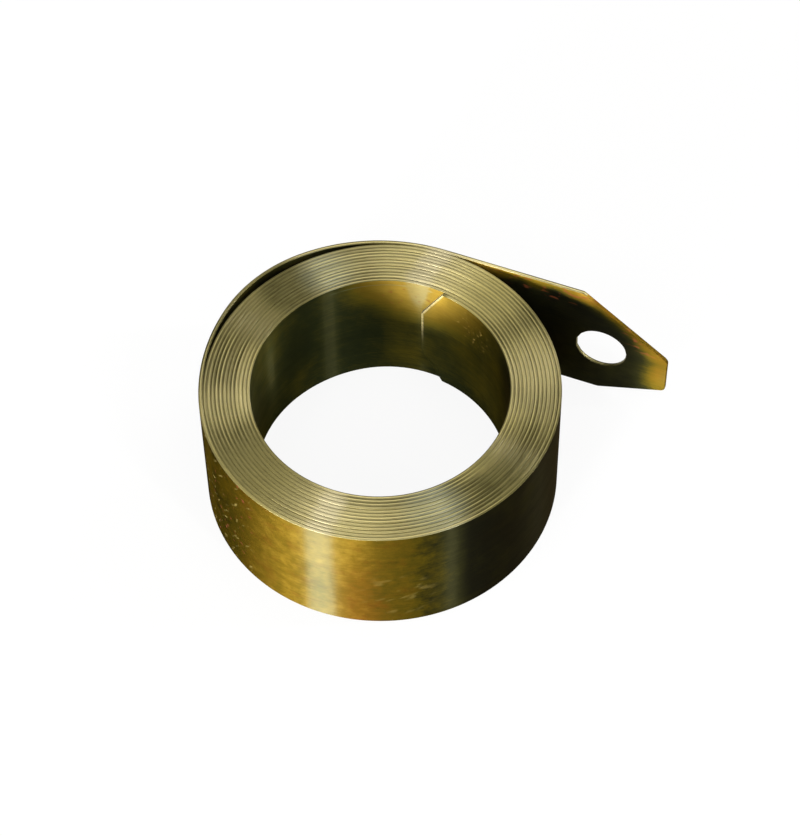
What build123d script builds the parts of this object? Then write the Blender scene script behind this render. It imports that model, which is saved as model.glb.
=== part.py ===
from build123d import *
import math
import os

# A constant force spring: one flat strip of hardened spring steel, wound into a tight coil that
# stands on its edge. The outermost turn leaves the coil as a straight tail with a mounting hole.
# The coil's axis is Z, the strip's lower edge lies on Z = 0, and angles are measured
# counter-clockwise from +X. Followed from its inner end, the strip winds clockwise and outward.
# All sizes are in millimetres and all angles in degrees.

# Strip
strip_thickness = 0.60
strip_width = 25.0
turn_gap = 0.05  # clear space between the faces of neighbouring turns

# Coil
bore_diameter = 43.0
turns = 13
inner_end_angle = 70.0
climb_angle = 64.0  # the last stretch of each turn, where it climbs over the strip's inner end

# Inner end: both corners are cut back to a shorter end edge
inner_end_edge = 10.6
inner_end_cut = 3.9

# Slack: the outermost turn bulges away from the coil before it reaches the tail
slack_start_angle = 185.0
slack_crown_angle = 125.0
slack_height = 1.25
slack_crown_offset = 5.5  # from the coil's axis to the centre of the bulge's crown

# Tail: straight, tangent to the coil, with a long cut above and a shallow taper below
tail_angle = 67.5  # where it leaves the coil
tail_length = 40.7
tip_height = 12.8
tip_lift = 4.5
upper_cut_length = 15.6
lower_taper_length = 12.0
tip_corner_radius = 1.0

# Mounting hole in the tail
hole_diameter = 9.0
hole_from_tip = 11.9
hole_height = 11.1

cut_overrun = 1.0  # how far a cutting shape reaches past what it cuts

pitch = strip_thickness + turn_gap
bore_radius = bore_diameter / 2


def direction(angle):
    """Unit vector in the XY plane at an angle."""
    return Vector(math.cos(math.radians(angle)), math.sin(math.radians(angle)), 0)


def heading(vector):
    """Angle of a vector in the XY plane."""
    return math.degrees(math.atan2(vector.Y, vector.X))


def flank_offset(rise, crown_offset, sweep):
    """Distance behind the axis of the centre of a flat flank arc. The flank starts on a circle
    about the axis and ends tangent to a crown arc that peaks `rise` higher, `sweep` further on."""
    spread = crown_offset * (1 - math.cos(math.radians(sweep)))
    return rise * (crown_offset - rise / 2) / (spread - rise)


def turn_radius(index):
    """Radius of the inner face of a turn, counted from 0 at the bore."""
    return bore_radius + index * pitch


def climb(index):
    """Two arcs that carry a turn out by one pitch, ending over the strip's inner end."""
    start = inner_end_angle + climb_angle
    middle = inner_end_angle + climb_angle / 2
    offset = pitch / (2 - 2 * math.cos(math.radians(climb_angle / 2)))
    flank = (direction(start) * -offset, turn_radius(index) + offset, start, middle)
    crown = (direction(inner_end_angle) * offset, turn_radius(index + 1) - offset, middle, inner_end_angle)
    return [flank, crown]


def slack():
    """Three arcs of the loose turn: off the coil, over the crown of the bulge and back down."""
    peak = turn_radius(turns - 1) + slack_height
    landing = turn_radius(turns)
    crown_centre = direction(slack_crown_angle) * slack_crown_offset
    rise_offset = flank_offset(slack_height, slack_crown_offset, slack_start_angle - slack_crown_angle)
    fall_offset = flank_offset(peak - landing, slack_crown_offset, slack_crown_angle - tail_angle)
    rise_centre = direction(slack_start_angle) * -rise_offset
    fall_centre = direction(tail_angle) * -fall_offset
    rise_end = heading(crown_centre - rise_centre)
    fall_start = heading(crown_centre - fall_centre)
    return [
        (rise_centre, peak - slack_height + rise_offset, slack_start_angle, rise_end),
        (crown_centre, peak - slack_crown_offset, rise_end, fall_start),
        (fall_centre, landing + fall_offset, fall_start, tail_angle),
    ]


# The coil's path: (centre, radius of the inner face, start angle, end angle) of each arc in turn
axis = Vector(0, 0, 0)
path = []
for index in range(turns - 1):
    path.append((axis, turn_radius(index), inner_end_angle + 360, inner_end_angle + climb_angle))
    path += climb(index)
path.append((axis, turn_radius(turns - 1), inner_end_angle + 360, slack_start_angle))
path += slack()


def coil_face():
    """Section of the wound strip across the axis: both faces follow the same arc centres."""
    edges = []
    for centre, radius, start, end in path:
        edges.append(CenterArc(centre, radius, start, end - start))
        edges.append(CenterArc(centre, radius + strip_thickness, start, end - start))
    for angle, radius in ((inner_end_angle, bore_radius), (tail_angle, turn_radius(turns))):
        edges.append(Line(direction(angle) * radius, direction(angle) * (radius + strip_thickness)))
    return make_face(edges)


def inner_end_cutter(sign):
    """Wedge that cuts back one corner of the inner end, kept clear of the turn outside it."""
    end_z = sign * inner_end_edge / 2
    edge_z = sign * strip_width / 2
    over_x = inner_end_cut + cut_overrun
    over_z = end_z + (edge_z - end_z) * over_x / inner_end_cut
    under_z = end_z - (edge_z - end_z) * cut_overrun / inner_end_cut
    outward = direction(inner_end_angle)
    along = direction(inner_end_angle - 90)
    plane = Plane(origin=(0, 0, strip_width / 2), x_dir=along, z_dir=outward)
    wedge = Polyline((-cut_overrun, under_z), (over_x, over_z), (-cut_overrun, over_z), close=True)
    prism = extrude(plane * make_face(wedge), bore_radius + pitch)
    reach = Cylinder(bore_radius + strip_thickness + turn_gap / 2, 2 * strip_width)
    return prism & Pos(0, 0, strip_width / 2) * reach


def tail():
    """Flat end of the strip, tangent to the coil at the tail angle."""
    corners = [
        (tail_length - lower_taper_length, 0),
        (tail_length, tip_lift),
        (tail_length, tip_height),
        (tail_length - upper_cut_length, strip_width),
    ]
    outline = make_face(Polyline((0, 0), *corners, (0, strip_width), close=True))
    tip_corners = outline.vertices().group_by(Axis.X)[-1]
    outline = fillet(tip_corners, tip_corner_radius)
    outline -= Pos(tail_length - hole_from_tip, hole_height) * Circle(hole_diameter / 2)
    outward = direction(tail_angle)
    start = outward * (turn_radius(turns) + strip_thickness)
    plane = Plane(origin=start, x_dir=direction(tail_angle - 90), z_dir=-outward)
    return extrude(plane * outline, strip_thickness)


spring_strip = extrude(coil_face(), strip_width)
for side in (-1, 1):
    spring_strip -= inner_end_cutter(side)
spring_strip += tail()

os.makedirs("parts", exist_ok=True)
export_step(spring_strip, "parts/spring_strip.step")
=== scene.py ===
import math

import bmesh
import bpy
from mathutils import Matrix, Quaternion, Vector, noise


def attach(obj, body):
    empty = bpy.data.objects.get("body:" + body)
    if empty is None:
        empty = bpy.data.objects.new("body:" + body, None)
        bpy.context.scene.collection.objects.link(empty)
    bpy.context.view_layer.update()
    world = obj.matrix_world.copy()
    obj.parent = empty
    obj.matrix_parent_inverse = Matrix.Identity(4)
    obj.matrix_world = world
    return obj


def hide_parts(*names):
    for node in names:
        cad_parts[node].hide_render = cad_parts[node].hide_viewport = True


# A constant force spring: one strip of spring steel, wound into a tight coil that stands on its
# edge. Shapes are worked out in millimetres and become metres when the mesh is made. Angles are in
# degrees about the coil's axis, counter-clockwise from +X.
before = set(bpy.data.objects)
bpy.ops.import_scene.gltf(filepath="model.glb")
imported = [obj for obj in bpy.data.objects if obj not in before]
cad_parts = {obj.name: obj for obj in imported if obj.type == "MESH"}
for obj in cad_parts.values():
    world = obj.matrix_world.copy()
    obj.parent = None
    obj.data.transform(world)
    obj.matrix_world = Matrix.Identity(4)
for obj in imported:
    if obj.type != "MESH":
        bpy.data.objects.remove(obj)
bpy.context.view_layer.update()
scene = bpy.context.scene

# --- The strip's route -------------------------------------------------------------------------
# Hardened carbon spring steel strip, 25 x 0.6 mm, wound cold on an arbor. It runs from its inner
# end clockwise and outward, climbs over that end once a turn, bulges where the outermost turn has
# gone slack, and leaves the coil as a straight tail.
strip_thickness = 0.60
strip_width = 25.0
pitch = 0.65
bore_radius = 21.5
turns = 13
inner_end_angle = 70.0
climb_angle = 64.0
slack_start_angle = 185.0
slack_crown_angle = 125.0
slack_height = 1.25
slack_crown_offset = 5.5
tail_angle = 67.5
tail_length = 40.7


def direction(angle):
    return Vector((math.cos(math.radians(angle)), math.sin(math.radians(angle))))


def heading(vector):
    return math.degrees(math.atan2(vector.y, vector.x))


def flank_offset(rise, sweep):
    """How far behind the axis the centre of a flank arc lies, to end tangent to the crown's arc."""
    spread = slack_crown_offset * (1 - math.cos(math.radians(sweep)))
    return rise * (slack_crown_offset - rise / 2) / (spread - rise)


# Each arc: centre, radius of the strip's inner face, start angle, end angle
axis = Vector((0, 0))
arcs = []
climb_offset = pitch / (2 - 2 * math.cos(math.radians(climb_angle / 2)))
climb_start = inner_end_angle + climb_angle
climb_middle = inner_end_angle + climb_angle / 2
flank_centre = direction(climb_start) * -climb_offset
crest_centre = direction(inner_end_angle) * climb_offset
for index in range(turns - 1):
    radius = bore_radius + index * pitch
    arcs.append((axis, radius, inner_end_angle + 360, climb_start))
    arcs.append((flank_centre, radius + climb_offset, climb_start, climb_middle))
    arcs.append((crest_centre, radius + pitch - climb_offset, climb_middle, inner_end_angle))
last_radius = bore_radius + (turns - 1) * pitch
landing_radius = last_radius + pitch
peak_radius = last_radius + slack_height
rise_offset = flank_offset(slack_height, slack_start_angle - slack_crown_angle)
fall_offset = flank_offset(peak_radius - landing_radius, slack_crown_angle - tail_angle)
rise_centre = direction(slack_start_angle) * -rise_offset
fall_centre = direction(tail_angle) * -fall_offset
crown_centre = direction(slack_crown_angle) * slack_crown_offset
rise_end = heading(crown_centre - rise_centre)
fall_start = heading(crown_centre - fall_centre)
arcs.append((axis, last_radius, inner_end_angle + 360, slack_start_angle))
arcs.append((rise_centre, last_radius + rise_offset, slack_start_angle, rise_end))
arcs.append((crown_centre, peak_radius - slack_crown_offset, rise_end, fall_start))
arcs.append((fall_centre, landing_radius + fall_offset, fall_start, tail_angle))
coil_length = sum(radius * math.radians(start - end) for centre, radius, start, end in arcs)
strip_length = coil_length + tail_length

tail_outward = direction(tail_angle)
tail_along = direction(tail_angle - 90)
tail_start = tail_outward * landing_radius


def place(travel):
    """Point of the strip's inner face at a distance from the inner end, and the way outward."""
    for centre, radius, start, end in arcs:
        length = radius * math.radians(start - end)
        if travel < length:
            outward = direction(start - math.degrees(travel / radius))
            return centre + outward * radius, outward
        travel -= length
    return tail_start + tail_along * travel, tail_outward


# --- The strip's cross-section ------------------------------------------------------------------
# Slitting left both long edges slightly rounded. The inner end has its two corners cut back, and
# the tail has a long cut above, a shallow taper below and rounded corners at the tip. From turn to
# turn the edges stand and lean a few hundredths of a millimetre apart.
edge_rounding = 0.07
edge_steps = 8
wall_rows = 8
holding_row = 0.2  # narrow rows beside the edges, which keep the walls' shading flat
edge_burr = 0.045  # slitting swelled the edges towards the axis, so wound edges nearly touch
edge_drop = 0.06
edge_lean = 0.03
wander_length = 31.0  # over which drop and lean change
wander_gain = 1.6  # brings the noise up to about -1 to 1
inner_cut_length = 3.9
inner_cut_height = 7.2
upper_cut_length = 15.6
tip_height = 12.8
tip_lift = 4.5
lower_taper_length = 12.0
tip_corner = 0.7  # how much of the tip's edge each rounded corner takes


def wander(travel, seed):
    """Smooth irregularity along the strip, from about -1 to 1."""
    return noise.noise(Vector((travel / wander_length, seed, 0.5))) * wander_gain


def limits(travel):
    """Heights of the strip's lower and upper edge at a distance from the inner end."""
    along = travel - coil_length
    if along < 0:
        cut = max(0.0, 1 - travel / inner_cut_length) * inner_cut_height
        low = cut + edge_drop * (0.5 + 0.5 * wander(travel, 8.7))
        high = strip_width - cut - edge_drop * (0.5 + 0.5 * wander(travel, 3.1))
        return max(0.0, low), min(strip_width, high)
    taper = max(0.0, along - tail_length + lower_taper_length) / lower_taper_length
    slope = max(0.0, along - tail_length + upper_cut_length) / upper_cut_length
    corner = min(1.0, max(0.0, (along - tail_length) / tip_corner + 1))
    round_off = tip_corner * (1 - math.sqrt(1 - corner**2))
    low = taper * tip_lift + round_off
    high = strip_width - slope * (strip_width - tip_height) - round_off
    return low, high


def section(travel):
    """Outline of the strip: (depth from the inner face, height), starting over the upper edge."""
    low, high = limits(travel)
    to_end = min(travel, strip_length - travel, edge_rounding)
    inset = edge_rounding - math.sqrt(edge_rounding**2 - (edge_rounding - to_end) ** 2)
    lean = edge_lean * wander(travel, 5.9)
    half = strip_thickness / 2 - inset
    foot = low + edge_rounding + inset
    head = high - edge_rounding - inset
    upper = []
    lower = []
    for step in range(edge_steps + 1):
        turn = math.pi * step / edge_steps
        depth = half * math.cos(turn)
        swell = edge_rounding * math.sin(turn)
        swelling = edge_burr * math.sin(turn / 2) ** 2
        unswelling = edge_burr * math.cos(turn / 2) ** 2
        head_lean = lean * math.cos(turn) - abs(lean)
        upper.append((strip_thickness / 2 + depth - swelling, head + swell + head_lean))
        lower.append((strip_thickness / 2 - depth - unswelling, foot - swell))
    levels = [foot + holding_row]
    levels += [foot + (head - foot) * row / wall_rows for row in range(1, wall_rows)]
    levels += [head - holding_row]
    inner_wall = [(inset, level) for level in reversed(levels)]
    outer_wall = [(strip_thickness - inset, level) for level in levels]
    return upper + inner_wall + lower + outer_wall


# --- The strip's mesh ---------------------------------------------------------------------------
# The whole strip is one skin of cross-sections from end to end, so its surfaces run on unbroken
# from the inner end to the tip. The mounting hole is punched, which leaves its rims rounded.
coil_step = 1.2
inner_cut_steps = 4
tail_steps = 20
tip_steps = 8
tip_corner_steps = 5
hole_radius = 4.5
hole_from_tip = 11.9
hole_height = 11.1
hole_rounding = 0.12
hole_rounding_steps = 3
hole_holding = 0.2  # a narrow ring round the hole, which keeps the walls' shading flat
block_reach = 6.3  # the hole sits in a block of the wall, this far each way along the tail
block_steps = 20
block_levels = range(1, 7)  # and between these rows of the wall


def spread(start, end, count):
    """Evenly spaced values from start up to, but not including, end."""
    return [start + (end - start) * step / count for step in range(count)]


# Cross-sections stand closer together at both ends, where the outline changes, and at the hole
hole_travel = strip_length - hole_from_tip
block_start = hole_travel - block_reach
block_end = hole_travel + block_reach
end_rounding = [edge_rounding * part for part in (0, 0.08, 0.3, 0.6)]
travels = end_rounding + spread(edge_rounding, inner_cut_length, inner_cut_steps)
travels += spread(inner_cut_length, coil_length, round(coil_length / coil_step))
travels += spread(coil_length, block_start, tail_steps)
first_block = len(travels)
travels += spread(block_start, block_end, block_steps)
last_block = len(travels)
travels += spread(block_end, strip_length - tip_corner, tip_steps)
travels += spread(strip_length - tip_corner, strip_length - edge_rounding, tip_corner_steps)
travels += [strip_length - part for part in reversed(end_rounding)]

points = []  # of each vertex: place, distance along the strip, depth and height
faces = []  # of each face: its vertices and which surface of the strip it belongs to


def add_point(outward_place, depth, height, travel):
    point, outward = outward_place
    across = point + outward * depth
    points.append((Vector((across.x, across.y, height)), travel, depth, height))
    return len(points) - 1


sections = []
for travel in travels:
    here = place(travel)
    sections.append([add_point(here, depth, height, travel) for depth, height in section(travel)])

# The outline's surfaces, in the order that section() gives their points
corners = len(sections[0])
surfaces = ["edge"] * edge_steps + ["inner wall"] * (wall_rows + 2)
surfaces += ["edge"] * edge_steps + ["outer wall"] * (wall_rows + 2)
inner_first = edge_steps + 1
outer_first = inner_first + wall_rows + 1 + edge_steps + 1


def wall_corner(surface, level):
    """Number of a wall's row in the outline, counted in rows from the lower edge."""
    if surface == "inner wall":
        return inner_first + wall_rows - level
    return outer_first + level


in_block = set()
for surface in ("inner wall", "outer wall"):
    rows = sorted(wall_corner(surface, level) for level in (block_levels[0], block_levels[-1]))
    in_block.update(range(rows[0], rows[1]))
for number in range(len(sections) - 1):
    near, far = sections[number], sections[number + 1]
    for corner in range(corners):
        if first_block <= number < last_block and corner in in_block:
            continue
        after = (corner + 1) % corners
        faces.append(((near[corner], far[corner], far[after], near[after]), surfaces[corner]))
faces.append((tuple(reversed(sections[-1])), "end"))
faces.append((tuple(sections[0]), "end"))


def block_rim(surface):
    """The vertices round the open block of a wall, in order."""
    lowest = wall_corner(surface, block_levels[0])
    highest = wall_corner(surface, block_levels[-1])
    step = 1 if highest > lowest else -1
    rim = [sections[number][lowest] for number in range(first_block, last_block)]
    rim += [sections[last_block][corner] for corner in range(lowest, highest, step)]
    rim += [sections[number][highest] for number in range(last_block, first_block, -1)]
    rim += [sections[first_block][corner] for corner in range(highest, lowest, -step)]
    return rim


# Rings round the hole, from the inner wall's rim through the hole to the outer wall's rim
inner_rim = block_rim("inner wall")
angles = []
for vertex in inner_rim:
    place_on_strip, travel, depth, height = points[vertex]
    angles.append(math.atan2(height - hole_height, travel - hole_travel))
hole_profile = [(hole_radius + hole_rounding + hole_holding, 0.0)]  # radius and depth
for step in range(hole_rounding_steps + 1):
    turn = math.pi / 2 * step / hole_rounding_steps
    widening = hole_rounding * (1 - math.sin(turn))
    hole_profile.append((hole_radius + widening, hole_rounding * (1 - math.cos(turn))))
hole_profile += [(ring, strip_thickness - depth) for ring, depth in reversed(hole_profile)]
rings = [inner_rim]
for ring_radius, depth in hole_profile:
    ring = []
    for angle in angles:
        travel = hole_travel + ring_radius * math.cos(angle)
        height = hole_height + ring_radius * math.sin(angle)
        ring.append(add_point(place(travel), depth, height, travel))
    rings.append(ring)
rings.append(block_rim("outer wall"))
# The first two bands between rings lie in the inner wall, and the last two in the outer wall
bands = ["inner wall"] * 2 + ["hole"] * (len(rings) - 5) + ["outer wall"] * 2
for near, far, surface in zip(rings, rings[1:], bands):
    for corner in range(len(near)):
        after = (corner + 1) % len(near)
        faces.append(((near[corner], near[after], far[after], far[corner]), surface))

MILLIMETRE = 0.001
strip_mesh = bpy.data.meshes.new("spring_strip_skin")
strip_mesh.from_pydata(
    [place_on_strip * MILLIMETRE for place_on_strip, travel, depth, height in points],
    [],
    [vertices for vertices, surface in faces],
)

# The strip's own map, in metres: U runs along the strip on every surface, V across it. The cuts of
# the tail were made before the heat treatment, so they are as dark as the walls.
ROLLED, SLIT, SHEARED = range(3)  # the strip's materials, in the order in which they are added
strip_map = strip_mesh.uv_layers.new(name="along_strip")
for polygon, (vertices, surface) in zip(strip_mesh.polygons, faces):
    polygon.use_smooth = surface != "end"
    near_travel = points[vertices[0]][1]
    tail_cut = near_travel > strip_length - upper_cut_length and surface != "hole"
    if "wall" in surface or tail_cut:
        polygon.material_index = ROLLED
    elif near_travel < inner_cut_length:
        polygon.material_index = SHEARED
    else:
        polygon.material_index = SLIT
    for loop in polygon.loop_indices:
        place_on_strip, travel, depth, height = points[strip_mesh.loops[loop].vertex_index]
        if "wall" in surface:
            spot = Vector((travel, height))
        elif surface == "end":
            spot = Vector((height, depth))
        else:
            spot = Vector((travel, depth))
        strip_map.data[loop].uv = spot * MILLIMETRE

skin = bmesh.new()
skin.from_mesh(strip_mesh)
bmesh.ops.recalc_face_normals(skin, faces=skin.faces)
skin.to_mesh(strip_mesh)
skin.free()
strip = bpy.data.objects.new("spring_strip_skin", strip_mesh)
scene.collection.objects.link(strip)
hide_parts("spring_strip")
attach(strip, "root")


# --- The rolled walls ---------------------------------------------------------------------------
# Cold-rolled carbon spring steel, hardened, blued and oiled. Rolling leaves fine lines along the
# strip, so lights draw out across it. The oxide is dark olive with some straw gold of its own, and
# more straw gold is painted light, laid where the lamps' highlights fall.
def linear(hex_colour):
    """A colour written as sRGB hex, as the linear values that nodes take."""
    parts = [int(hex_colour[start:start + 2], 16) / 255 for start in (1, 3, 5)]
    levels = [p / 12.92 if p <= 0.04045 else ((p + 0.055) / 1.055) ** 2.4 for p in parts]
    return (*levels, 1.0)


def add_node(material, kind, settings=None, inputs=None, stops=()):
    """Adds a node. An input is a value, an output, or a node that gives its first output."""
    made = material.node_tree.nodes.new(kind)
    for name, value in (settings or {}).items():
        setattr(made, name, value)
    for name, value in (inputs or {}).items():
        if isinstance(value, bpy.types.Node):
            value = value.outputs[0]
        if isinstance(value, bpy.types.NodeSocket):
            material.node_tree.links.new(value, made.inputs[name])
        else:
            made.inputs[name].default_value = value
    if stops:
        elements = made.color_ramp.elements
        elements.remove(elements[1])
    for number, (position, hex_colour) in enumerate(stops):
        element = elements.new(position) if number else elements[0]
        element.position = position
        element.color = linear(hex_colour)
    return made


def make_material(name):
    made = bpy.data.materials.new(name)
    made.use_nodes = True
    made.node_tree.nodes.clear()
    return made


def patch(material, centre, core, reach, tallness=1.0, strength=1.0):
    """A value with this strength within the patch's core, fading to 0 at its reach, in mm."""
    squash = Vector((1.0, 1.0, 1 / tallness))
    squashed = add_node(material, "ShaderNodeVectorMath", {"operation": "MULTIPLY"}, {
        0: add_node(material, "ShaderNodeTexCoord").outputs["Object"],
        1: squash / MILLIMETRE,
    })
    away = add_node(material, "ShaderNodeVectorMath", {"operation": "DISTANCE"}, {
        0: squashed, 1: Vector(centre) * squash,
    })
    return add_node(material, "ShaderNodeMapRange", {"interpolation_type": "SMOOTHSTEP"}, {
        "Value": away.outputs["Value"],
        "From Min": core, "From Max": reach, "To Min": strength, "To Max": 0.0,
    })


def grain(material, along, across, seed, low, high, span=(0.3, 0.7), detail=3.0, tilt=0.0):
    """Noise that follows the strip, its features so many mm long and wide, from low to high.

    The span is the part of the noise's own range that is stretched from low to high.
    """
    turned = add_node(material, "ShaderNodeMapping", inputs={
        "Vector": add_node(material, "ShaderNodeUVMap", {"uv_map": "along_strip"}),
        "Rotation": (0.0, 0.0, math.radians(tilt)),
        "Scale": (1 / MILLIMETRE, 1 / MILLIMETRE, 1.0),
    })
    stretched = add_node(material, "ShaderNodeMapping", inputs={
        "Vector": turned,
        "Location": (seed * 17.3, seed * 11.9, seed),  # each seed has its own part of the noise
        "Scale": (1 / along, 1 / across, 1.0),
    })
    specks = add_node(material, "ShaderNodeTexNoise", inputs={
        "Vector": stretched, "Scale": 1.0, "Detail": detail, "Roughness": 0.6,
    })
    return add_node(material, "ShaderNodeMapRange", inputs={
        "Value": specks, "From Min": span[0], "From Max": span[1], "To Min": low, "To Max": high,
    })


across_grain = 0.25  # a quarter turn of anisotropy, which draws lights out across the strip
rolled = make_material("Blued rolled spring steel")
rolled_tangent = add_node(rolled, "ShaderNodeTangent", {
    "direction_type": "UV_MAP", "uv_map": "along_strip",
})
rolled_map = add_node(rolled, "ShaderNodeUVMap", {"uv_map": "along_strip"})
strip_place = add_node(rolled, "ShaderNodeSeparateXYZ", inputs={0: rolled_map}).outputs

# How far the heat took the oxide, from olive (0) to straw (1), with painted light and shade laid
# on it: broad patches of painted light and shade, where the lamps light the walls and the tail's
# top band or leave them dark, then drifts and clouds a few millimetres across, slanting wipe marks
# and the rolling lines
heat_level = 0.2
oxide_light_patches = (  # centre, core, reach, tallness, strength
    ((-13.6, -26.6, 12.0), 8.0, 28.0, 40.0, 0.44),  # the outermost turn, front left
    ((-28.7, -8.2, 12.0), 1.0, 3.8, 40.0, 0.16),
    ((-25.6, -15.4, 12.0), 2.0, 6.0, 40.0, -0.03),
    ((-10.6, -28.0, 12.0), 3.0, 9.0, 40.0, 0.04),
    # painted shade: the outer wall's right, where the lamps leave it dark
    ((22.2, -20.0, 12.0), 15.0, 24.0, 40.0, -0.2),  # its right, which stayed dark
    ((5.6, -29.3, 12.0), 2.0, 6.5, 40.0, 0.12),
    ((10.4, -28.0, 12.0), 1.0, 4.0, 40.0, 0.12),
    ((7.2, 20.2, 28.0), 5.5, 16.4, 1.0, 0.71),  # above and behind the inner end
    ((5.2, 20.8, 9.0), 1.5, 7.5, 2.0, 0.14),
    ((17.6, 12.4, 16.0), 3.0, 11.0, 2.0, 0.13),  # the right of the bore
    ((16.5, 24.8, 27.5), 2.0, 5.5, 1.0, 0.3),  # the tail's upper edge
    ((20.0, 23.3, 27.5), 3.0, 6.5, 1.0, 0.6),
    ((26.5, 20.7, 27.5), 3.0, 6.5, 1.0, 0.5),
    ((33.5, 17.8, 27.5), 3.0, 6.5, 1.0, 0.6),
    ((38.5, 15.7, 25.0), 2.5, 6.5, 1.0, 0.5),
    ((42.5, 14.1, 21.5), 2.0, 6.0, 1.0, 0.45),
    ((46.5, 12.5, 17.0), 2.0, 6.0, 1.0, 0.4),
    ((51.5, 10.4, 8.0), 4.0, 9.5, 1.0, 0.4),  # its tip
)
# The front left was handled most, so its oxide is the cloudiest
handled = add_node(rolled, "ShaderNodeMath", {"operation": "ADD"}, {
    0: patch(rolled, (-13.6, -26.6, 12.0), 16.0, 32.0, 40.0, 0.7), 1: 0.3,
})
clouds = add_node(rolled, "ShaderNodeMath", {"operation": "MULTIPLY"}, {
    0: handled, 1: grain(rolled, 1.9, 1.9, 1.0, -0.11, 0.11, detail=6.0),
})
# Real rolling lines are too fine to show, so they are drawn a few tenths of a millimetre wide
rolling_lines = grain(rolled, 16.0, 0.3, 3.0, -0.05, 0.05)
# The tail is painted darker, fading in over a few millimetres where it leaves the coil: painted
# shade, where the coil hides the tail from the key lamp
tail_shade_span = (coil_length - 5.0, coil_length + 1.0)
tail_shade = add_node(rolled, "ShaderNodeMapRange", inputs={
    "Value": strip_place["X"],
    "From Min": tail_shade_span[0] * MILLIMETRE, "From Max": tail_shade_span[1] * MILLIMETRE,
    "To Min": 0.0, "To Max": -0.14,
})
heat_and_light = heat_level
for part in (
    grain(rolled, 9.0, 12.0, 13.0, -0.08, 0.08, detail=2.0),
    clouds,
    grain(rolled, 3.0, 0.5, 2.0, -0.025, 0.025, tilt=32.0),
    rolling_lines,
    tail_shade,
    *(patch(rolled, *oxide_light_patch) for oxide_light_patch in oxide_light_patches),
):
    heat_and_light = add_node(rolled, "ShaderNodeMath", {"operation": "ADD"}, {0: heat_and_light, 1: part})
oxide_colour = add_node(rolled, "ShaderNodeValToRGB", inputs={"Fac": heat_and_light}, stops=(
    (0.0, "#1F2016"), (0.2, "#303018"), (0.3, "#4C4519"), (0.42, "#695B19"), (0.62, "#836A1D"),
    (1.0, "#BC9A3A"),
))

# Rusty brown tints drift through the straw
rust = grain(rolled, 4.0, 3.0, 4.0, 0.0, 0.25, span=(0.52, 0.68), detail=4.0)
for rust_patch in (
    ((-4.0, -29.6, 4.0), 1.0, 7.0, 3.0, 0.35),  # low on the front
    ((44.0, 13.5, 18.0), 8.0, 18.0),  # the tail beyond its hole
):
    rust = add_node(rolled, "ShaderNodeMath", {"operation": "ADD"}, {
        0: rust, 1: patch(rolled, *rust_patch),
    })
straw = add_node(rolled, "ShaderNodeMapRange", inputs={
    "Value": heat_and_light, "From Min": 0.3, "From Max": 0.6,
})
for limit in (straw, handled):
    rust = add_node(rolled, "ShaderNodeMath", {"operation": "MULTIPLY"}, {0: rust, 1: limit})
rusted = add_node(rolled, "ShaderNodeMix", {"data_type": "RGBA"}, {
    "Factor": rust, "A": oxide_colour, "B": linear("#7A3E14"),
})
# Inside the coil a little green is added to the oxide: painted colour of the bore's shade
bore_shade_green = add_node(rolled, "ShaderNodeMix", {"data_type": "RGBA", "blend_type": "ADD"}, {
    "Factor": patch(rolled, (0.0, 0.0, 12.0), 22.2, 24.0, 40.0),
    "A": rusted.outputs["Result"], "B": linear("#0E1D10"),
})

# The lines' colour follows the clouds and the rolling lines, and is painted paler in stripes and
# spots where the lamps' reflections fall: painted highlights
highlight_patches = (  # centre, core, reach, tallness, strength
    ((-10.6, -28.0, 12.0), 0.5, 7.0, 40.0, 1.1),
    ((6.6, 20.5, 27.0), 0.6, 4.0, 4.0, 1.5),
    ((10.7, -27.9, 12.0), 0.0, 4.2, 40.0, 0.7),
    ((-8.4, 19.8, 12.0), 0.6, 2.6, 40.0, 0.68),
    ((-18.4, 11.1, 15.0), 0.4, 2.8, 5.0, 0.72),
    ((7.2, 20.3, 11.0), 0.2, 1.6, 6.0, 0.8),  # below the inner end's upper cut
    ((8.4, 23.0, 0.0), 2.3, 2.8, 3.0, 0.7),  # the next turn's wall, seen past its lower cut
    ((18.9, 10.2, 12.0), 2.0, 9.0, 3.0, 0.6),
    ((-26.0, -14.0, 12.0), 3.0, 9.0, 40.0, 0.3),
    ((51.0, 10.6, 8.0), 2.0, 6.0, 1.0, 0.9),
)
# A thin paler line runs round just under the top of the bore, behind the inner end
pale_line_height = 23.7
pale_line_fade = (0.05, 0.3)  # distances above and below it between which the mark fades
above_pale_line = add_node(rolled, "ShaderNodeMath", {"operation": "SUBTRACT"}, {
    0: strip_place["Y"], 1: pale_line_height * MILLIMETRE,
})
pale_line = add_node(rolled, "ShaderNodeMapRange", inputs={
    "Value": add_node(rolled, "ShaderNodeMath", {"operation": "ABSOLUTE"}, {0: above_pale_line}),
    "From Min": pale_line_fade[0] * MILLIMETRE, "From Max": pale_line_fade[1] * MILLIMETRE,
    "To Min": 1.0, "To Max": 0.0,
})
wear_and_highlights = add_node(rolled, "ShaderNodeMath", {"operation": "MULTIPLY"}, {0: clouds, 1: 0.5})
for part in (
    rolling_lines,
    *(patch(rolled, *highlight_patch) for highlight_patch in highlight_patches),
    add_node(rolled, "ShaderNodeMath", {"operation": "MULTIPLY"}, {
        0: pale_line, 1: patch(rolled, (1.0, 21.4, 24.0), 6.0, 10.0),
    }),
):
    wear_and_highlights = add_node(rolled, "ShaderNodeMath", {"operation": "ADD"}, {0: wear_and_highlights, 1: part})
line_colour = add_node(rolled, "ShaderNodeValToRGB", inputs={"Fac": wear_and_highlights}, stops=(
    (0.0, "#12120C"), (0.5, "#35351F"), (0.75, "#4A4930"), (1.0, "#5A6555"),
))

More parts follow.
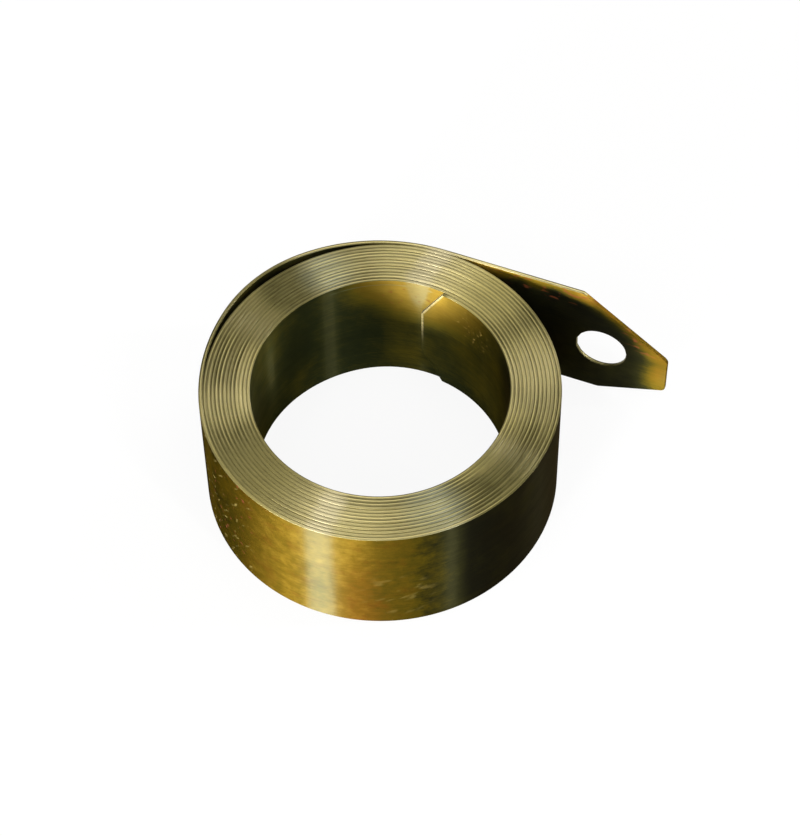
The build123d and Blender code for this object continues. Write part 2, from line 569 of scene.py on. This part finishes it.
# The rolling lines catch the light unevenly: shallow ridges a few tenths of a millimetre apart
ridges = add_node(rolled, "ShaderNodeBump", inputs={
    "Strength": 0.25, "Distance": 0.01 * MILLIMETRE,
    "Height": grain(rolled, 9.0, 0.25, 5.0, 0.0, 1.0, span=(0.0, 1.0)),
})
# The oxide scatters light widely, and the lines that lie bare in it draw the lights out sharper
rolled_oxide = add_node(rolled, "ShaderNodeBsdfPrincipled", inputs={
    "Base Color": bore_shade_green.outputs["Result"],
    "Metallic": 1.0,
    "Roughness": grain(rolled, 6.0, 3.0, 7.0, 0.58, 0.70),
    "Specular Tint": linear("#B8A060"),
    "Anisotropic": 0.85,
    "Anisotropic Rotation": across_grain,
    "Normal": ridges,
    "Tangent": rolled_tangent,
})
rolled_lines = add_node(rolled, "ShaderNodeBsdfPrincipled", inputs={
    "Base Color": line_colour,
    "Metallic": 1.0,
    "Roughness": grain(rolled, 12.0, 0.4, 8.0, 0.44, 0.56),
    "Specular Tint": linear("#C8B880"),
    "Anisotropic": 1.0,
    "Anisotropic Rotation": across_grain,
    "Normal": ridges,
    "Tangent": rolled_tangent,
})
# The tail's oxide is whole and hides the rolling lines
bare_lines = add_node(rolled, "ShaderNodeMapRange", inputs={
    "Value": wear_and_highlights, "To Min": 0.3, "To Max": 0.5,
})
lines_fade = (coil_length - 6.0, coil_length + 1.0)
off_tail = add_node(rolled, "ShaderNodeMapRange", inputs={
    "Value": strip_place["X"],
    "From Min": lines_fade[0] * MILLIMETRE, "From Max": lines_fade[1] * MILLIMETRE,
    "To Min": 1.0, "To Max": 0.25,
})
rolled_surface = add_node(rolled, "ShaderNodeMixShader", inputs={
    0: add_node(rolled, "ShaderNodeMath", {"operation": "MULTIPLY"}, {0: bare_lines, 1: off_tail}),
    1: rolled_oxide, 2: rolled_lines,
})

# Dried oil left pale flecks and damp left rusty ones, all one to three millimetres long
fleck_edge = 0.12  # how far above its threshold the noise makes a whole fleck
flecks = (  # colour, length, width, tilt, seed, threshold, strength, then where, as above
    ("#8E7C38", 2.8, 1.0, 52.0, 9.0, 0.64, 0.42, (-33.8, -15.6, 12.0), 11.0, 15.5, 40.0),
    ("#7E2208", 1.5, 1.1, 0.0, 10.0, 0.66, 0.65, (-33.8, -15.6, 12.0), 11.0, 15.5, 40.0),
    ("#7D6A28", 3.4, 1.5, 24.0, 11.0, 0.57, 0.26, (2.0, -29.8, 8.0), 3.0, 8.0),
    ("#8A4010", 1.8, 1.0, 0.0, 12.0, 0.56, 0.7, (29.0, 19.7, 25.0), 7.0, 12.0, 0.4),
    ("#8A4010", 1.8, 1.1, 0.0, 15.0, 0.56, 0.7, (46.0, 12.7, 17.5), 3.0, 6.0),
    ("#7A2E0A", 1.3, 1.0, 0.0, 14.0, 0.62, 0.8, (5.0, 20.8, 23.0), 3.0, 6.0),
    ("#B09040", 0.9, 0.6, 0.0, 16.0, 0.62, 0.5, (16.0, 14.4, 20.0), 2.5, 5.0),
)
for hex_colour, along, across, tilt, seed, threshold, strength, *where in flecks:
    spots = grain(
        rolled, along, across, seed, 0.0, strength, (threshold, threshold + fleck_edge), 1.0, tilt
    )
    rolled_surface = add_node(rolled, "ShaderNodeMixShader", inputs={
        0: add_node(rolled, "ShaderNodeMath", {"operation": "MULTIPLY"}, {
            0: spots, 1: patch(rolled, *where),
        }),
        1: rolled_surface,
        2: add_node(rolled, "ShaderNodeBsdfPrincipled", inputs={
            "Base Color": linear(hex_colour), "Roughness": 0.85,
        }),
    })

# A pale band runs along the inner end's upper cut and down its end: partly a torn burr, partly a
# painted highlight of the cut's edge
burr_fade = (0.2, 0.45)  # distances from the sheared edges
cut_slope = math.hypot(inner_cut_length, inner_cut_height)
cut_start = (strip_width - inner_cut_height) * inner_cut_length / cut_slope
below_cut = add_node(rolled, "ShaderNodeVectorMath", {"operation": "DOT_PRODUCT"}, {
    0: rolled_map, 1: (inner_cut_height / cut_slope, -inner_cut_length / cut_slope, 0.0),
})
from_cut = add_node(rolled, "ShaderNodeMath", {"operation": "ADD"}, {
    0: below_cut.outputs["Value"], 1: cut_start * MILLIMETRE,
})
from_sheared = add_node(rolled, "ShaderNodeMath", {"operation": "MINIMUM"}, {
    0: from_cut, 1: strip_place["X"],
})
burr_and_highlight_share = add_node(rolled, "ShaderNodeMapRange", inputs={
    "Value": from_sheared,
    "From Min": burr_fade[0] * MILLIMETRE, "From Max": burr_fade[1] * MILLIMETRE,
    "To Min": 1.0, "To Max": 0.0,
})
for limit in (
    patch(rolled, (8.5, 19.8, 23.0), 6.0, 12.0, 1.15),
    grain(rolled, 0.7, 0.7, 17.0, 0.3, 1.0, span=(0.3, 0.55)),
):
    burr_and_highlight_share = add_node(rolled, "ShaderNodeMath", {"operation": "MULTIPLY"}, {
        0: burr_and_highlight_share, 1: limit,
    })
rolled_surface = add_node(rolled, "ShaderNodeMixShader", inputs={
    0: burr_and_highlight_share,
    1: rolled_surface,
    2: add_node(rolled, "ShaderNodeBsdfPrincipled", inputs={
        "Base Color": linear("#EFDC96"), "Roughness": 0.5,
    }),
})
add_node(rolled, "ShaderNodeOutputMaterial", inputs={"Surface": rolled_surface})
strip_mesh.materials.append(rolled)

# --- The slit edges -----------------------------------------------------------------------------
# The same steel where it was slit: bare and brighter. Each turn's edge took its own shade, and
# painted light and shade, a painted highlight on each crest and painted glare are laid on top, so
# where the lights draw out, the wound edges show as fine cream lines on olive.
slit = make_material("Slit spring steel edge")
slit_tangent = add_node(slit, "ShaderNodeTangent", {
    "direction_type": "UV_MAP", "uv_map": "along_strip",
})
across_edge = add_node(slit, "ShaderNodeSeparateXYZ", inputs={
    0: add_node(slit, "ShaderNodeUVMap", {"uv_map": "along_strip"}),
}).outputs["Y"]
from_axis = add_node(slit, "ShaderNodeVectorMath", {"operation": "DISTANCE"}, {
    0: add_node(slit, "ShaderNodeTexCoord").outputs["Object"],
    1: (0.0, 0.0, strip_width * MILLIMETRE),
}).outputs["Value"]

# How bright the edges are, from dark (0) to bright (1): broad patches of painted light and shade,
# laid where the lamps light the edges or leave them dark, then each turn's shade, a painted
# highlight on its crest, painted light and shade on parts of whole rings, and fine streaks
slit_level = 0.37
edge_light_patches = (  # centre, core, reach, strength
    ((17.4, 18.7, 25.0), 4.0, 10.5, 0.46),
    ((5.4, 25.4, 25.0), 3.0, 8.0, 0.18),
    ((-19.0, -17.2, 25.0), 4.0, 9.0, 0.07),
    ((24.9, 4.6, 25.0), 3.0, 9.0, 0.26),
    ((21.0, 14.7, 25.0), 3.0, 8.0, -0.08),
    ((21.5, -14.6, 25.0), 3.0, 10.0, -0.09),
    ((-15.0, 21.2, 25.0), 3.0, 7.0, -0.29),
    ((-23.7, 10.5, 25.0), 5.0, 12.0, -0.10),
    ((-26.0, -3.2, 25.0), 2.0, 6.0, 0.25),
    ((-5.9, -25.4, 25.0), 3.0, 11.0, 0.16),
    ((14.2, -22.0, 25.0), 1.5, 6.0, -0.24),
    ((21.0, -16.0, 25.0), 5.0, 10.0, -0.14),
    ((0.5, -26.0, 25.0), 4.0, 11.0, 0.07),
    ((38.1, 16.1, 11.0), 6.0, 8.0, -0.6),  # inside the mounting hole
)
# In two stretches, where the lamps draw out no lines, each turn's shade and the painted crest
# highlight are weakened
plain = add_node(slit, "ShaderNodeMath", {"operation": "ADD"}, {
    0: patch(slit, (-19.4, -17.5, 25.0), 6.0, 12.0), 1: patch(slit, (-18.4, 18.4, 25.0), 7.0, 12.0),
})
turn_shade = add_node(slit, "ShaderNodeMath", {"operation": "MULTIPLY"}, {
    0: grain(slit, 40.0, 3.0, 1.0, -0.13, 0.15, span=(0.35, 0.65), detail=1.0),
    1: add_node(slit, "ShaderNodeMapRange", inputs={"Value": plain, "To Min": 1.0, "To Max": 0.2}),
})
# A painted highlight on the crest of each edge draws a fine line on every turn
crest_rise = (0.1, 0.2)  # distances from the strip's inner face
crest_fall = (0.28, 0.4)
crest = add_node(slit, "ShaderNodeMath", {"operation": "MULTIPLY"}, {
    0: add_node(slit, "ShaderNodeMapRange", inputs={
        "Value": across_edge,
        "From Min": crest_rise[0] * MILLIMETRE, "From Max": crest_rise[1] * MILLIMETRE,
    }),
    1: add_node(slit, "ShaderNodeMapRange", inputs={
        "Value": across_edge,
        "From Min": crest_fall[0] * MILLIMETRE, "From Max": crest_fall[1] * MILLIMETRE,
        "To Min": 1.0, "To Max": 0.0,
    }),
})
plainer = add_node(slit, "ShaderNodeMath", {"operation": "ADD"}, {
    0: plain, 1: patch(slit, (19.5, -16.5, 25.0), 3.0, 8.0),
})
crest_highlight = add_node(slit, "ShaderNodeMapRange", inputs={
    "Value": crest, "To Min": -0.22, "To Max": 0.5,
})
for limit in (
    grain(slit, 50.0, 2.0, 7.0, 0.5, 1.2, span=(0.35, 0.6), detail=1.0),
    add_node(slit, "ShaderNodeMapRange", inputs={"Value": plainer, "To Min": 1.0, "To Max": 0.2}),
):
    crest_highlight = add_node(slit, "ShaderNodeMath", {"operation": "MULTIPLY"}, {
        0: crest_highlight, 1: limit,
    })
# In places the innermost turns get painted light and shade of their own, and the outermost one a
# painted highlight along its rim
inner_turns_fade = (23.4, 24.2)  # distances from the axis
outer_turn_rise = (29.2, 29.4)
inner_turns = add_node(slit, "ShaderNodeMapRange", inputs={
    "Value": from_axis,
    "From Min": inner_turns_fade[0] * MILLIMETRE, "From Max": inner_turns_fade[1] * MILLIMETRE,
    "To Min": 1.0, "To Max": 0.0,
})
outer_turn = add_node(slit, "ShaderNodeMapRange", inputs={
    "Value": from_axis,
    "From Min": outer_turn_rise[0] * MILLIMETRE, "From Max": outer_turn_rise[1] * MILLIMETRE,
})
ring_light_patches = (  # ring, centre, core, reach, strength
    (inner_turns, (19.0, -11.8, 25.0), 6.0, 12.0, 0.26),
    (inner_turns, (-22.0, 2.0, 25.0), 4.0, 10.0, 0.3),
    (inner_turns, (2.0, -22.4, 25.0), 7.0, 11.0, -0.2),
    (outer_turn, (-24.5, -17.2, 25.0), 10.0, 17.0, 0.3),
)
ring_parts = [
    add_node(slit, "ShaderNodeMath", {"operation": "MULTIPLY"}, {
        0: ring, 1: patch(slit, centre, core, reach, strength=strength),
    })
    for ring, centre, core, reach, strength in ring_light_patches
]
edge_tone_and_light = slit_level
for part in (
    turn_shade,
    crest_highlight,
    *(patch(slit, *where, strength=strength) for *where, strength in edge_light_patches),
    *ring_parts,
    grain(slit, 5.0, 0.3, 2.0, -0.06, 0.06),
    grain(slit, 1.6, 3.0, 3.0, -0.04, 0.04, detail=4.0),
):
    edge_tone_and_light = add_node(slit, "ShaderNodeMath", {"operation": "ADD"}, {0: edge_tone_and_light, 1: part})

# Two stretches of the edges are painted a colder grey where a lamp's highlight falls, and two an
# even cream as painted glare, where the key lamp's highlight falls
cold_highlight = add_node(slit, "ShaderNodeMath", {"operation": "MAXIMUM"}, {
    0: patch(slit, (-8.6, 24.0, 25.0), 2.0, 6.5, strength=0.5),
    1: patch(slit, (8.4, -24.1, 25.0), 3.0, 7.0, strength=0.5),
})
glare = 0.0
for centre in (
    (-8.2, -22.4, 25.0), (-9.3, -24.9, 25.0), (-10.4, -27.4, 25.0),
    (7.2, 22.4, 25.0), (8.8, 24.9, 25.0), (10.6, 27.2, 25.0),
):
    glare = add_node(slit, "ShaderNodeMath", {"operation": "MAXIMUM"}, {
        0: glare, 1: patch(slit, centre, 1.2, 3.2, strength=0.7),
    })
dull_colour = add_node(slit, "ShaderNodeValToRGB", inputs={"Fac": edge_tone_and_light}, stops=(
    (0.0, "#6B6536"), (1.0, "#E4D472"),
))
crisp_colour = add_node(slit, "ShaderNodeValToRGB", inputs={"Fac": edge_tone_and_light}, stops=(
    (0.0, "#645D45"), (1.0, "#D6CAAE"),
))
cold_highlight_colour = add_node(slit, "ShaderNodeMix", {"data_type": "RGBA"}, {
    "Factor": cold_highlight, "A": crisp_colour, "B": linear("#A9B3A6"),
})
glared_dull, glared_crisp = (
    add_node(slit, "ShaderNodeMix", {"data_type": "RGBA"}, {
        "Factor": glare, "A": colour, "B": linear("#BAB08C"),
    }).outputs["Result"]
    for colour in (dull_colour, cold_highlight_colour.outputs["Result"])
)

# Slitting dragged shallow scores along the edges, so each lobe's sharpness varies along them
scores = add_node(slit, "ShaderNodeBump", inputs={
    "Strength": 0.15, "Distance": 0.01 * MILLIMETRE,
    "Height": grain(slit, 7.0, 0.2, 4.0, 0.0, 1.0, span=(0.0, 1.0)),
})
slit_dull = add_node(slit, "ShaderNodeBsdfPrincipled", inputs={
    "Base Color": glared_dull,
    "Metallic": 1.0,
    "Roughness": grain(slit, 5.0, 1.0, 5.0, 0.54, 0.66),
    "Anisotropic": 0.6,
    "Anisotropic Rotation": across_grain,
    "Normal": scores,
    "Tangent": slit_tangent,
})
slit_crisp = add_node(slit, "ShaderNodeBsdfPrincipled", inputs={
    "Base Color": glared_crisp,
    "Metallic": 1.0,
    "Roughness": grain(slit, 8.0, 0.5, 6.0, 0.33, 0.43),
    "Anisotropic": 0.95,
    "Anisotropic Rotation": across_grain,
    "Normal": scores,
    "Tangent": slit_tangent,
})
crisp_share = 0.45
slit_surface = add_node(slit, "ShaderNodeMixShader", inputs={
    0: crisp_share, 1: slit_dull, 2: slit_crisp,
})
add_node(slit, "ShaderNodeOutputMaterial", inputs={"Surface": slit_surface})
strip_mesh.materials.append(slit)

# --- The sheared inner end ----------------------------------------------------------------------
# The inner end's corners were sheared off after the heat treatment. The bare metal there is torn
# and has no direction of its own. Its pale colour is partly the bare metal's own and partly a
# painted highlight of the cut.
sheared = make_material("Sheared spring steel")
sheared_surface = add_node(sheared, "ShaderNodeBsdfPrincipled", inputs={
    "Base Color": add_node(sheared, "ShaderNodeValToRGB", inputs={
        "Fac": grain(sheared, 0.8, 0.3, 1.0, 0.0, 1.0),
    }, stops=((0.0, "#B8AE84"), (1.0, "#E6DEBE"))),
    "Metallic": 1.0,
    "Roughness": grain(sheared, 0.5, 0.5, 2.0, 0.62, 0.78),
    "Normal": add_node(sheared, "ShaderNodeBump", inputs={
        "Strength": 0.4, "Distance": 0.02 * MILLIMETRE,
        "Height": grain(sheared, 0.5, 0.2, 3.0, 0.0, 1.0, span=(0.0, 1.0)),
    }),
})
add_node(sheared, "ShaderNodeOutputMaterial", inputs={"Surface": sheared_surface})
strip_mesh.materials.append(sheared)

# --- The floor ----------------------------------------------------------------------------------
# A wide sheet of matt white card that the coil stands on. It glows towards whoever looks at it or
# sees it mirrored, which keeps it white to its far edge, and still takes the coil's faint shadow.
floor_size = 6.0
floor_glow = 0.9
bpy.ops.mesh.primitive_plane_add(size=floor_size, location=(0, 0, 0))
floor = bpy.context.object
floor.name = "floor"
card = make_material("Matt white card")
sight = add_node(card, "ShaderNodeLightPath").outputs
seen = sight["Is Camera Ray"]
for ray in ("Is Glossy Ray", "Is Transmission Ray"):
    seen = add_node(card, "ShaderNodeMath", {"operation": "ADD"}, {0: seen, 1: sight[ray]})
card_surface = add_node(card, "ShaderNodeMixShader", inputs={
    0: add_node(card, "ShaderNodeMath", {"operation": "MULTIPLY"}, {0: seen, 1: floor_glow}),
    1: add_node(card, "ShaderNodeBsdfPrincipled", inputs={
        "Base Color": linear("#F4F4F2"), "Roughness": 0.9,
    }),
    2: add_node(card, "ShaderNodeEmission", inputs={"Strength": 1.0}),
})
add_node(card, "ShaderNodeOutputMaterial", inputs={"Surface": card_surface})
floor.data.materials.append(card)

# --- The studio's lights ------------------------------------------------------------------------
# A dim room with a pale backdrop, a light ceiling and a few plain softboxes. A rolled or slit
# surface shows each one as a stripe across the strip, where it faces halfway to the camera.
studio = bpy.data.worlds.new("studio")
scene.world = studio
studio.use_nodes = True
studio.node_tree.nodes.clear()
look_direction = add_node(studio, "ShaderNodeTexCoord").outputs["Generated"]
look_height = add_node(studio, "ShaderNodeSeparateXYZ", inputs={0: look_direction}).outputs["Z"]
room = add_node(studio, "ShaderNodeValToRGB", inputs={"Fac": look_height}, stops=(
    (0.07, "#EDEDED"), (0.11, "#505050"), (0.42, "#595959"), (0.62, "#A2A2A2"), (1.0, "#A2A2A2"),
))
room_light = add_node(studio, "ShaderNodeBackground", inputs={"Color": room})
add_node(studio, "ShaderNodeOutputWorld", inputs={"Surface": room_light})


def softbox(name, azimuth, elevation, width, height, radiance, turn=0.0):
    """A rectangular lamp a metre away, aimed at the coil and turned about its own axis."""
    lamp = bpy.data.lights.new(name, "AREA")
    lamp.shape = "RECTANGLE"
    lamp.size = width
    lamp.size_y = height
    lamp.energy = radiance * math.pi * width * height
    box = bpy.data.objects.new(name, lamp)
    level = math.cos(math.radians(elevation))
    towards = direction(azimuth)
    box.location = (towards.x * level, towards.y * level, math.sin(math.radians(elevation)))
    aimed = (-box.location).to_track_quat("-Z", "Y")
    box.rotation_euler = (aimed @ Quaternion((0, 0, 1), math.radians(turn))).to_euler()
    box.visible_camera = False
    scene.collection.objects.link(box)


# Azimuth and elevation in degrees, width and height in metres, then the radiance
softbox("key_softbox", 237.5, 14.5, 0.12, 0.10, 165)
softbox("key_surround", 237, 5.5, 1.0, 0.18, 23)
softbox("left_softbox", 225, 45, 0.5, 0.3, 3)
softbox("high_key_softbox", 207, 69, 0.10, 0.35, 9, 20)
softbox("ceiling_softbox", 0, 87, 0.40, 0.6, 2.6, -27)
softbox("right_high_strip", 309, 42, 0.05, 0.4, 36)
softbox("right_low_strip", 303, 12, 0.05, 0.3, 20)
softbox("side_strip", 0, 22, 0.06, 0.5, 36)
softbox("back_softbox", 38, 27, 0.5, 0.4, 4.5)

# --- The camera ---------------------------------------------------------------------------------
# Stands half a metre in front of the coil and looks down into it with a long lens, so that the
# coil's far side is hardly smaller than its near side.
camera_place = Vector((0.0, -0.27672, 0.41525))
camera_aim = Vector((0.00311, -0.00635, 0.025))
camera_roll = -1.0
camera_data = bpy.data.cameras.new("camera")
camera_data.sensor_width = 36.0
camera_data.lens = 125.3
camera = bpy.data.objects.new("camera", camera_data)
camera.location = camera_place
aimed_view = (camera_aim - camera_place).to_track_quat("-Z", "Y").to_matrix()
camera.rotation_euler = (
    aimed_view @ Matrix.Rotation(math.radians(camera_roll), 3, "Z")
).to_euler()
scene.collection.objects.link(camera)
scene.camera = camera
scene.view_settings.view_transform = "Standard"

# --- Bringing the scene up to date --------------------------------------------------------------
# The strip here has to stay inside its solid's box.
bpy.context.view_layer.update()
